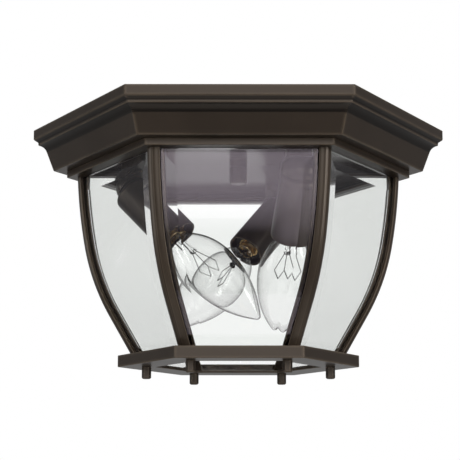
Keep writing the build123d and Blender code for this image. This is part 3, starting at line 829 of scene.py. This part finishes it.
def cage():
    """Cage ring: shallow channel under the crown, with a boss at each corner for the rib's screw."""
    outer = band_radius * FLAT
    inner = (nose_radius - rib_depth) * FLAT - fit_gap
    flange_top = band_foot + band_flange
    outline = [
        (outer, crown_foot),
        (outer, band_foot),
        (inner, band_foot),
        (inner, flange_top),
        (outer - band_wall, flange_top),
        (outer - band_wall, crown_foot),
    ]
    boss_outline = [
        (screw_hole, flange_top),
        (boss_radius, flange_top),
        (boss_radius, plate_foot),
        (screw_hole, plate_foot),
    ]
    boss = lathe(rounded(boss_outline, trim=0.3 * MM), upright_axes(screw_circle), segments=24)
    patches = [hexagon_sweep(outline)] + six_fold([boss])
    make_piece("cage", patches, "bronze_paint", replaced=["cage_ring"])


def ribs():
    """Ribs: nose, two wings over the glass, web and inner flange, carried along the bent nose line.

    A point of the section lies across the rib and some way out from the nose, square to the line's lean.
    Each such point starts and ends where its own offset line meets the ring above and the ring below. A
    wing's outer face is its straight run plus a bulge of four times the wing crown times share times one
    less share. The ribs' edges are lighter than the rest by the nose wear: rubbed wear, partly painted
    highlight along the nose.
    """
    half_web = web_thickness / 2
    half_flange = inner_flange_width / 2
    wing_under = apex - wing_thickness / cos(HALF)
    tip_under = wing_tip - wing_thickness * sin(HALF)
    wing_run = np.array([wing_tip - nose_width / 2, -wing_back])
    bulge = np.array([wing_back, wing_run[0]]) / np.linalg.norm(wing_run) * wing_crown
    half = [
        (nose_width / 2, 0),
        *[(nose_width / 2, 0) + s * wing_run + 4 * s * (1 - s) * bulge for s in (0.2, 0.4, 0.6, 0.8)],
        (wing_tip, -wing_back),
        (tip_under, wing_under - tip_under * tan(HALF)),
        (half_web, wing_under - half_web * tan(HALF)),
        (half_web, flange_slope - half_web * tan(HALF)),
        (half_flange, flange_edge),
        (half_flange, -rib_depth),
    ]
    section = half + [(-across, out) for across, out in half[::-1]]
    points, normals, wear = rounded(section, trim=0.45 * MM)
    # Rib edges lighter: rubbed wear, partly painted highlight
    wear = np.minimum(1, nose_wear_and_highlight * wear)
    line = bent_line((nose_radius, band_foot), leans, rib_bends)
    start = np.array([run_at(line, band_foot, -out) for out in points[:, 1]])
    end = np.array([run_at(line, ring_floor, -out) for out in points[:, 1]])
    run = start + np.linspace(0, 1, 41)[:, None] * (end - start)
    d, z, lean = line(run)
    across, out = points.T
    grid = np.stack([d + out * np.cos(lean), across + 0 * run, z - out * np.sin(lean)], axis=-1)
    normal_across, normal_out = normals.T
    normal = np.stack(
        [normal_out * np.cos(lean), normal_across + 0 * run, -normal_out * np.sin(lean)], axis=-1
    )
    rows, columns = run.shape
    ring = np.arange(columns - 1)
    ends = [(ring, np.array([0, 0, 1.0])), (ring + (rows - 1) * columns, np.array([0, 0, -1.0]))]
    patch = (grid, normal, wear + 0 * run)
    for side in range(SIDES):
        bar = turned([patch], 2 * HALF * side)
        replaced = [f"rib_{side + 1}"]
        make_piece(f"rib_bar_{side + 1}", bar, "bronze_paint", replaced=replaced, flat_ends=ends)


def panes():
    """Panes: bent to the ribs' line, with a ground bevel all round the outer face, mitred at the corners.

    A point is a run along the bent outer face, a width across it and a depth behind it. Half the width is
    the distance from the wedge's point times tan 30. The field keeps clear of the edges by the bevel's
    width, and each bevel falls from the field to the edge by the same slope.
    """
    slim = [atan(tan(lean) * FLAT) for lean in leans]
    drops = [bend * (sin(low) - sin(high)) for bend, low, high in zip(rib_bends, leans[1:], leans[:-1])]
    bends = [drop / (sin(low) - sin(high)) for drop, low, high in zip(drops, slim[1:], slim[:-1])]
    outer_flat = (nose_radius + apex) * FLAT - wing_thickness - fit_gap - held_edge + glass_thickness
    line = bent_line((outer_flat, band_foot), slim, bends)
    top = band_foot - fit_gap
    foot = ring_floor + fit_gap
    point = (web_thickness / 2 + fit_gap) / sin(HALF)
    bevel_deep = glass_thickness - glass_edge

    def half_width(run, depth):
        d, _, lean = line(run)
        return (d - depth * np.cos(lean) - point) * tan(HALF)

    def skin(run, width, depth):
        d, z, lean = line(run)
        out = d - depth * np.cos(lean) + 0 * width
        up = z + depth * np.sin(lean) + 0 * width
        return np.stack([out, width + 0 * d, up], axis=-1)

    def patch(grid, normal):
        return grid, unit(normal + 0 * grid), np.zeros(grid.shape[:2])

    field = np.linspace(run_at(line, top, 0) + bevel_width, run_at(line, foot, 0) - bevel_width, 33)
    rim, back = [
        np.concatenate([[run_at(line, top, depth)], field, [run_at(line, foot, depth)]])
        for depth in (bevel_deep, glass_thickness)
    ]
    near = np.clip(rim, field[0], field[-1])
    _, _, lean = line(near)
    level = 0 * lean
    square = np.stack([np.cos(lean), level, -np.sin(lean)], axis=-1)
    down = np.stack([-np.sin(lean), level, -np.cos(lean)], axis=-1)
    skew = np.arctan(np.sin(lean) * tan(HALF))
    field_half = half_width(near, 0) - bevel_width / np.cos(skew)
    rim_half = half_width(rim, bevel_deep)
    back_half = half_width(back, glass_thickness)
    share = np.linspace(-1, 1, 9)
    patches = [
        patch(skin(field[:, None], field_half[1:-1, None] * share, 0), square[1:-1, None]),
        patch(skin(back[:, None], back_half[:, None] * share, glass_thickness), -square[:, None]),
    ]
    for hand in (-1, 1):
        inner = skin(near, hand * field_half, 0)
        outer = skin(rim, hand * rim_half, bevel_deep)
        behind = skin(back, hand * back_half, glass_thickness)
        sideways = np.stack([level, hand * np.cos(skew), level], axis=-1) + np.sin(skew)[:, None] * down
        wedge = np.array([-sin(HALF), hand * cos(HALF), 0])
        patches.append(patch(np.stack([inner, outer], axis=1), (square + bevel_slope * sideways)[:, None]))
        patches.append(patch(np.stack([outer, behind], axis=1), wedge))
    for end, way in ((0, -1), (-1, 1)):
        inner = skin(near[end], field_half[end] * share, 0)
        outer = skin(rim[end], rim_half[end] * share, bevel_deep)
        behind = skin(back[end], back_half[end] * share, glass_thickness)
        patches.append(patch(np.stack([inner, outer]), square[end] + way * bevel_slope * down[end]))
        patches.append(patch(np.stack([outer, behind]), np.array([0, 0, -way])))
    for side in range(SIDES):
        placed = turned(patches, HALF + 2 * HALF * side)
        make_piece(f"pane_{side + 1}", placed, "pane_glass", replaced=[f"glass_panel_{side + 1}"])


def bottom_ring():
    """Bottom ring: upright lip and a wide flange."""
    outer = ring_radius * FLAT
    outline = [
        (outer, ring_foot),
        (outer, ring_top),
        (outer - lip_wall, ring_top),
        (outer - lip_wall, ring_floor),
        (outer - ring_width, ring_floor),
        (outer - ring_width, ring_foot),
    ]
    ring = hexagon_sweep(outline, trim=0.55 * MM)
    make_piece("foot_ring", [ring], "bronze_paint", replaced=["bottom_ring"])


# Fasteners
def round_head(radius, height, axes, recess=0.5):
    """Screw head with a cross recess, on a polar grid.

    The crown falls from its height by a third of it times the squared share of the radius. The cross sinks
    it by a share of the height where the smaller of the two sideways distances is under an arm's half width
    and the larger under an arm's length, which are shares of the radius, as the slopes at their edges are.
    Wear is 0.3 of the fourth power of the share.
    """
    arm_half, side_slope = 0.14, 0.05
    arm_length, end_slope = 0.6, 0.12
    origin, side, other, axis = axes
    share = np.concatenate([np.linspace(0, 1, 25), [1.0, 0.0]])[:, None]
    turn = np.linspace(0, 2 * pi, 97)[None]
    x = np.abs(share * np.cos(turn))
    y = np.abs(share * np.sin(turn))
    across = np.clip((arm_half - np.minimum(x, y)) / side_slope, 0, 1)
    along = np.clip((arm_length - np.maximum(x, y)) / end_slope, 0, 1)
    lift = height * (1 - share**2 / 3 - recess * (across * along))
    lift[-2:] = 0
    out = np.cos(turn)[..., None] * side + np.sin(turn)[..., None] * other
    grid = origin + radius * share[..., None] * out + lift[..., None] * axis
    normal = np.cross(np.gradient(grid, axis=0), np.gradient(grid, axis=1))
    normal[0] = axis
    return grid, unit(normal), 0.3 * share**4 + 0 * turn


def rib_screws():
    """Rib screws: round heads on the pan's shelf, shanks down into the ribs."""
    shank_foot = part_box("rib_screws")[0].z
    shank = [(screw_radius, shelf_top), (0, shelf_top), (0, shank_foot), (screw_radius, shank_foot)]
    parts = [
        round_head(screw_head_radius, screw_head_height, upright_axes(screw_circle, height=shelf_top)),
        lathe(rounded(shank, trim=0.2 * MM), upright_axes(screw_circle), segments=20),
    ]
    make_piece("shelf_screws", six_fold(parts), "zinc_steel", replaced=["rib_screws"])


def ground_screw():
    """Earth screw: round head under the strap, shank up into it."""
    shank = [(0, 0), (0, strap_foot), (ground_screw_radius, strap_foot), (ground_screw_radius, 0)]
    head_axes = upright_axes(ground_place, height=strap_foot, downwards=True)
    patches = [
        round_head(ground_head_radius, ground_head_height, head_axes),
        lathe(rounded(shank, trim=0.2 * MM), upright_axes(ground_place), segments=20),
    ]
    make_piece("earth_screw", patches, "green_screw", replaced=["ground_screw"])


def cap_nuts():
    """Blind nuts under the bottom ring, hexagonal with a bevelled end."""
    edge = nut_flats / 2
    outline = [
        (0, ring_foot),
        (edge, ring_foot),
        (edge, nut_foot + nut_chamfer),
        (edge - nut_chamfer, nut_foot),
        (0, nut_foot),
    ]
    nut = hexagon_sweep(outline, trim=0.3 * MM, corner=0.4 * MM, centre=(stud_circle, 0), apron=0.5 * MM)
    make_piece("foot_nuts", six_fold([nut]), "bronze_paint", replaced=["cap_nuts"])


def locknut(height, centre=(0, 0), turn=0.0):
    """Flat hexagonal nut with its hole, its foot at a height."""
    hole = nipple_radius + slip_gap
    edge = locknut_flats / 2
    top = height + locknut_height
    bore = [(hole, top), (hole, height)]
    outline = [(hole, height), (edge, height), (edge, top), (hole, top)]
    sweep = hexagon_sweep(outline, trim=0.35 * MM, corner=0.5 * MM, centre=centre, turn=turn)
    return [sweep] + bands(bore, upright_axes(*centre), segments=32)


def socket_places():
    """Places of the three sockets' necks on the plate, from the lamps' pivots."""
    return [lamp_axes(lamp + 1)[0][:2] for lamp in range(LAMPS)]


def threaded_tube(foot, top, axes):
    """Hollow threaded tube: thread outside, plain bore, flat ends."""
    outer = nipple_radius - nipple_thread / 2
    bore = nipple_radius - nipple_wall
    shell = bands([(outer, top), (bore, top), (bore, foot), (outer, foot)], axes)
    return [thread(nipple_radius, nipple_thread, nipple_pitch, foot, top, axes)] + shell


def mounting_hardware():
    """Centre nipple with its blind nut, the sockets' nipples, and the locknuts on both."""
    centre = threaded_tube(nipple_foot, 0, upright_axes())
    make_piece("centre_tube", centre, "zinc_steel", replaced=["centre_nipple"])
    necks = [
        patch
        for place in socket_places()
        for patch in threaded_tube(elbow_nipple_foot, elbow_nipple_top, upright_axes(*place))
    ]
    make_piece("neck_tubes", necks, "zinc_steel", replaced=["elbow_nipples"])
    nuts = locknut(strap_foot - locknut_height)
    for x, y in socket_places():
        nuts += locknut(seat, (x, y), np.arctan2(y, x))
    make_piece("lock_nuts", nuts, "zinc_steel", replaced=["locknuts"])
    corner = arc((cap_radius - cap_round, cap_foot + cap_round), cap_round, -pi / 2, 0)
    outline = [(0, cap_foot), *corner, (cap_radius, plate_foot), (0, plate_foot)]
    cap = lathe(rounded(outline, trim=0.3 * MM), upright_axes())
    make_piece("plate_nut", [cap], "bronze_paint", replaced=["centre_cap_nut"])


# Sockets and lamps
def sleeve(lamp, axes):
    """Socket sleeve: drawn cup with a rounded foot, open at the lamp's end."""
    inner = sleeve_radius - sleeve_wall
    bend = (sleeve_radius - sleeve_round, sleeve_foot + sleeve_round)
    outline = [
        (cup_hole, sleeve_foot),
        *arc(bend, sleeve_round, -pi / 2, 0),
        (sleeve_radius, sleeve_reach),
        (inner, sleeve_reach),
        *arc(bend, sleeve_round - sleeve_wall, 0, -pi / 2),
        (cup_hole, sleeve_foot + sleeve_wall),
    ]
    cup = lathe(rounded(outline), axes)
    make_piece(f"sleeve_{lamp}", [cup], "bronze_paint", replaced=[f"socket_sleeve_{lamp}"])


def socket_body(lamp, axes):
    """Socket body: moulding with a bevelled foot and a well for the screw shell."""
    well = shell_inner + shell_wall + slip_gap
    well_floor = body_face - shell_depth - fit_gap
    outline = [
        (0, body_floor),
        (body_radius - body_chamfer, body_floor),
        (body_radius, body_floor + body_chamfer),
        (body_radius, body_face),
        (well, body_face),
        (well, well_floor),
        (0, well_floor),
    ]
    moulding = lathe(rounded(outline), axes)
    make_piece(f"body_{lamp}", [moulding], "socket_moulding", replaced=[f"socket_body_{lamp}"])


def screw_shell(lamp, axes):
    """Screw shell: sheet cup with a lip on the body's face, a hole below and a rolled thread inside."""
    outer = shell_inner + shell_wall
    shell_floor = body_face - shell_depth
    lip_top = body_face + shell_wall
    crest = base_thread / 2
    root = shell_inner + crest / 2
    sheet = [
        (root, lip_top),
        (outer + shell_lip, lip_top),
        (outer + shell_lip, body_face),
        (outer, body_face),
        (outer, shell_floor),
        (shell_hole, shell_floor),
        (shell_hole, shell_floor + shell_wall),
        (root, shell_floor + shell_wall),
    ]
    start = shell_floor + shell_wall
    rolled = thread(shell_inner + crest, crest, base_pitch, start, lip_top, axes, inside=True)
    shell = bands(sheet[::-1], axes) + [rolled]
    make_piece(f"shell_{lamp}", shell, "shell_brass", replaced=[f"screw_shell_{lamp}"])


def bulb_skin(inset):
    """Outline of the bulb's glass from the neck to the tip, some way inside its outer face.

    The neck is straight, a short flare leads to the shoulder's arc, and the belly's arc meets the tip's.
    """
    belly = base_top + bulb_belly
    tip = base_top + bulb_length
    rise = bulb_belly - bulb_flare
    shoulder_bend = (rise**2 + (bulb_radius - bulb_shoulder) ** 2) / (2 * (bulb_radius - bulb_shoulder))
    tip_rise = bulb_length - bulb_tip_radius - bulb_belly
    nose_bend = (bulb_radius**2 + tip_rise**2 - bulb_tip_radius**2) / (2 * (bulb_radius - bulb_tip_radius))
    shoulder_turn = asin(rise / shoulder_bend)
    nose_turn = asin(tip_rise / (nose_bend - bulb_tip_radius))
    neck = base_radius - base_wall - fit_gap - inset
    return [
        (neck, base_top - bulb_neck_depth),
        (neck, base_top - bulb_neck_depth / 2),
        (neck, base_top - inset),
        *arc((bulb_radius - shoulder_bend, belly), shoulder_bend - inset, -shoulder_turn, 0, 21),
        *arc((bulb_radius - nose_bend, belly), nose_bend - inset, 0, nose_turn, 31)[1:],
        *arc((0, tip - bulb_tip_radius), bulb_tip_radius - inset, nose_turn, pi / 2, 9)[1:],
    ]


def stem_skin():
    """Outline of the stem: a flare that dies away as a bell curve, a rod, and a swollen round end."""
    foot = base_top - bulb_neck_depth + fit_gap
    middle = base_top + stem_height - stem_end
    flare = base_radius - base_wall - bulb_wall - 2 * fit_gap - stem_radius
    s = np.linspace(foot, middle, 29)
    flare_bell = np.exp(-(((s - foot) / stem_flare_length) ** 2))
    swell_bell = np.exp(-(((s - middle) / stem_swell_length) ** 2))
    rod = stem_radius + flare * flare_bell + stem_swell * swell_bell
    turn = np.linspace(0, pi / 2, 9)[1:]
    end = np.stack([(stem_radius + stem_swell) * np.cos(turn), middle + stem_end * np.sin(turn)], axis=-1)
    return np.concatenate([[(0, foot)], np.stack([rod, s], axis=-1), end])


def bulb_envelope(lamp, axes):
    """Bulb's glass: a blown skin of even wall with a flat lip at the neck, and the stem inside it."""
    body = f"bulb_{lamp}"
    outside = smooth(bulb_skin(0))
    points, normals, wear = smooth(bulb_skin(bulb_wall))
    lip = bands([bulb_skin(bulb_wall)[0], bulb_skin(0)[0]], axes, 96)
    glass = [lathe(outside, axes, 96), lathe((points, -normals, wear), axes, 96)] + lip
    make_piece(f"bulb_skin_{lamp}", glass, "bulb_glass", body, [f"bulb_glass_{lamp}"])
    stem = lathe(smooth(stem_skin()), axes, 40)
    make_piece(f"stem_{lamp}", [stem], "bulb_glass", body, [f"bulb_stem_{lamp}"])


def filament(lamp, axes):
    """Filament: a coil in zigzag on three leads that fan out of the stem, each lamp's at its own turn."""
    origin, side, other, axis = axes
    turn = filament_turns[lamp - 1]
    across_way = cos(turn) * side + sin(turn) * other
    square_way = np.cross(axis, across_way)
    stem_top = base_top + stem_height
    lead_top = stem_top + lead_height
    peak = lead_top + filament_rise

    def place(across, height):
        return origin + across * across_way + height * axis

    wires = []
    for root, end in ((-lead_root, -lead_spread), (0, 0), (lead_root, lead_spread)):
        path = np.linspace(place(root, stem_top - lead_sunk), place(end, lead_top), 9)
        wires.append(tube(path, wire_radius, square_way))
    corners = [
        place(-lead_spread, lead_top),
        place(-lead_spread / 2, peak),
        place(0, lead_top),
        place(lead_spread / 2, peak),
        place(lead_spread, lead_top),
    ]
    for start, end in zip(corners[:-1], corners[1:]):
        wires.append(coil(start, end, square_way))
    make_piece(f"filament_{lamp}", wires, "filament_metal", f"bulb_{lamp}", [f"bulb_filament_{lamp}"])


def screw_base(lamp, axes):
    """Screw base with a rolled thread and a collar, the insulator's cone below it, and the solder tip."""
    body = f"bulb_{lamp}"
    foot = base_top - base_length
    taper_top = foot + base_taper
    collar = base_top - collar_height
    middle = base_radius - base_thread / 2
    narrow = base_radius - base_taper
    lip_top = base_top - fit_gap
    cup = [
        (narrow - base_wall, taper_top),
        (narrow - base_wall, foot),
        (narrow, foot),
        (middle, taper_top),
    ]
    top = [
        (middle, collar),
        (base_radius - collar_edge, collar + collar_rise),
        (base_radius, lip_top - lip_roll),
        (base_radius - collar_edge, lip_top),
        (base_radius - base_wall, lip_top),
        (base_radius - base_wall, taper_top),
        (narrow - base_wall, taper_top),
    ]
    rolled = thread(base_radius, base_thread, base_pitch, taper_top, collar, axes)
    base = bands(cup, axes) + [rolled] + bands(top, axes)
    make_piece(f"base_{lamp}", base, "base_brass", body, [f"bulb_base_{lamp}"])
    insulator_foot = foot - insulator_length
    cone = [(0, insulator_foot), (insulator_tip, insulator_foot), (narrow, foot), (0, foot)]
    insulator = lathe(rounded(cone, trim=0.4 * MM), axes, 40)
    make_piece(f"insulator_{lamp}", [insulator], "base_insulator", body, [f"bulb_insulator_{lamp}"])
    dome = (solder_radius**2 + solder_height**2) / (2 * solder_height)
    spread = asin(solder_radius / dome)
    solder_top = insulator_foot - solder_gap
    centre = (0, solder_top - solder_height + dome)
    outline = [*arc(centre, dome, -pi / 2, spread - pi / 2), (0, solder_top)]
    tip = lathe(rounded(outline, trim=0.2 * MM), axes, 32)
    make_piece(f"solder_tip_{lamp}", [tip], "solder", f"bulb_tip_{lamp}", [f"bulb_contact_{lamp}"])


def coil(start, end, other, radius=0.3 * MM, wire=0.09 * MM, pitch=0.42 * MM):
    """Fine coil between two points: a helix, with straight tails of half a pitch at its ends."""
    along = unit(end - start)
    length = np.linalg.norm(end - start)
    across = np.cross(other, along)
    turns = int(length / pitch)
    share = np.linspace(0, 1, turns * 12 + 1)[:, None]
    angle = 2 * pi * turns * share
    out = np.cos(angle) * across + np.sin(angle) * other
    path = start + share * length * along + radius * out
    return tube(path, wire, out, 6)


def cad_finishes():
    """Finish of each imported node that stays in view, by its slot in the record."""
    for part in frame["record"]["subparts"]:
        for slot in frame["nodes"][part["node"]].material_slots:
            slot.material = FINISHES[part["material_slot"]]


cad_finishes()
crown()
plate()
cage()
ribs()
panes()
bottom_ring()
rib_screws()
ground_screw()
cap_nuts()
mounting_hardware()
for number in range(1, LAMPS + 1):
    for piece_of_lamp in (sleeve, socket_body, screw_shell, bulb_envelope, filament, screw_base):
        piece_of_lamp(number, lamp_axes(number))


# Studio: camera, world, lamps and floor
lens_length = 120.165
camera_place = (-8.28 * MM, -1068.0 * MM, -256.69 * MM)
camera_rise_degrees = 9.811
camera_swing_degrees = -0.129


def camera():
    """Camera at the photograph's viewing angle, a little below the lantern and looking up at it."""
    lens = bpy.data.cameras.new("camera")
    lens.lens = lens_length
    lens.sensor_width = 36.0
    lens.clip_start = 0.01
    holder = new_object("camera", lens)
    holder.location = camera_place
    holder.rotation_euler = (radians(90 + camera_rise_degrees), 0, radians(camera_swing_degrees))
    bpy.context.scene.camera = holder


def world(dim=0.13, front=1.9, back=0.42, top=0.6, left=2.0, right=6.0):
    """World: white to the eye and through glass.

    For light it is dim, with a front panel whose low part is two slats at the right, an upright strip at the
    left and another at the right front, a back wall and a ceiling. An edge of these is a smooth step between
    two values of X, Y or Z of the direction.
    """
    sky = bpy.data.worlds.new("studio")
    sky.use_nodes = True
    bpy.context.scene.world = sky
    tree = sky.node_tree
    tree.nodes.clear()
    place = tree.nodes.new("ShaderNodeTexCoord")
    path = tree.nodes.new("ShaderNodeLightPath")
    way = node_of(tree, "ShaderNodeSeparateXYZ", Vector=(place, "Generated"))

    def share(axis, start, end, most=1.0):
        step = node_of(
            tree, "ShaderNodeMapRange", Value=(way, axis), From_Min=start, From_Max=end, To_Max=most
        )
        step.interpolation_type = "SMOOTHSTEP"
        return step, "Result"

    def chain(operation, first, *others):
        for other in others:
            first = math_of(tree, operation, first, other), "Value"
        return first

    slat = chain("MULTIPLY", share("X", 0.025, 0.04), share("X", 0.068, 0.06))
    slats = chain("MAXIMUM", slat, share("X", 0.15, 0.25))
    low = chain("MULTIPLY", share("Z", -0.42, -0.17, 0.6), slats)
    tall = chain("MAXIMUM", low, share("Z", -0.25, 0.0))
    wide = chain("MULTIPLY", share("X", -0.42, -0.16), share("X", 0.42, 0.16), share("Y", -0.3, -0.6))
    panel = chain("MULTIPLY", share("Z", 0.8, 0.5, front), tall, wide)
    upright = chain("MULTIPLY", share("Z", -0.3, -0.1), share("Z", 0.5, 0.35))
    left_strip = chain("MULTIPLY", upright, share("X", -0.93, -0.985, left))
    right_edges = chain("MULTIPLY", share("X", 0.7, 0.76, right), share("X", 0.92, 0.86))
    right_strip = chain("MULTIPLY", upright, right_edges, share("Y", -0.2, -0.4))
    wall = chain("MULTIPLY", share("Y", 0.55, 0.85, back), share("Z", -0.55, -0.3))
    ceiling = share("Z", 0.55, 0.95, top)
    glow, _ = chain("MAXIMUM", panel, left_strip, right_strip, wall, ceiling, dim)
    eye = math_of(tree, "MAXIMUM", (path, "Is Camera Ray"), (path, "Is Transmission Ray"))
    bounces = math_of(tree, "ADD", (path, "Diffuse Depth"), (path, "Glossy Depth"))
    straight = math_of(tree, "LESS_THAN", (bounces, "Value"), 0.5)
    seen = math_of(tree, "MULTIPLY", (eye, "Value"), (straight, "Value"))
    light = node_of(tree, "ShaderNodeBackground", Color=(glow, "Value"), Strength=1.0)
    white = node_of(tree, "ShaderNodeBackground", Color=(1, 1, 1, 1), Strength=1.0)
    both = shader_mix(tree, (seen, "Value"), (light, "Background"), (white, "Background"))
    out = tree.nodes.new("ShaderNodeOutputWorld")
    tree.links.new(both.outputs["Shader"], out.inputs["Surface"])


def soft_lamp(name, place, size, watts):
    """Rectangular lamp at a place, turned to the lantern's middle."""
    light = bpy.data.lights.new(name, "AREA")
    light.shape = "RECTANGLE"
    light.size, light.size_y = size
    light.energy = watts
    holder = new_object(name, light)
    holder.location = place
    middle = (cad_box[0] + cad_box[1]) / 2
    holder.rotation_euler = (middle - holder.location).to_track_quat("-Z", "Y").to_euler()


def floor(height=-1.3, reach=1.4, white_share=0.85, glint_share=0.4):
    """Plain pale floor, a disc: white to the eye and through glass, less so in reflections.

    What is left beside the white share is the floor as the lamps light it, with its shade.
    """
    material, tree, shader = plain_material("floor_pale")
    shader.inputs["Base Color"].default_value = (0.85, 0.85, 0.85, 1)
    shader.inputs["Roughness"].default_value = 0.8
    path = tree.nodes.new("ShaderNodeLightPath")
    eye = math_of(tree, "MAXIMUM", (path, "Is Camera Ray"), (path, "Is Transmission Ray"))
    glint = math_of(tree, "MULTIPLY", (path, "Is Glossy Ray"), glint_share)
    seen = math_of(tree, "MAXIMUM", (eye, "Value"), (glint, "Value"))
    straight = math_of(tree, "LESS_THAN", (path, "Diffuse Depth"), 0.5)
    plain = math_of(tree, "MULTIPLY", (seen, "Value"), (straight, "Value"))
    share = math_of(tree, "MULTIPLY", (plain, "Value"), white_share)
    white = node_of(tree, "ShaderNodeEmission", Color=(1, 1, 1, 1), Strength=1.0)
    both = shader_mix(tree, (share, "Value"), (shader, "BSDF"), (white, "Emission"))
    tree.links.new(both.outputs["Shader"], tree.nodes["Material Output"].inputs["Surface"])
    turn = np.linspace(0, 2 * pi, 65)[:-1]
    ring = np.stack([reach * np.cos(turn), reach * np.sin(turn), height + 0 * turn], axis=-1)
    mesh = bpy.data.meshes.new("floor")
    mesh.from_pydata(ring.tolist(), [], [list(range(len(ring)))])
    mesh.materials.append(material)
    disc = new_object("floor", mesh)


camera()
world()
soft_lamp("key", place=(1.6, -1.4, 0.3), size=(0.8, 1.4), watts=3.0)
soft_lamp("fill", place=(-1.7, -1.2, 0.0), size=(0.8, 1.4), watts=3.5)
floor()
bpy.context.scene.view_settings.view_transform = "Standard"
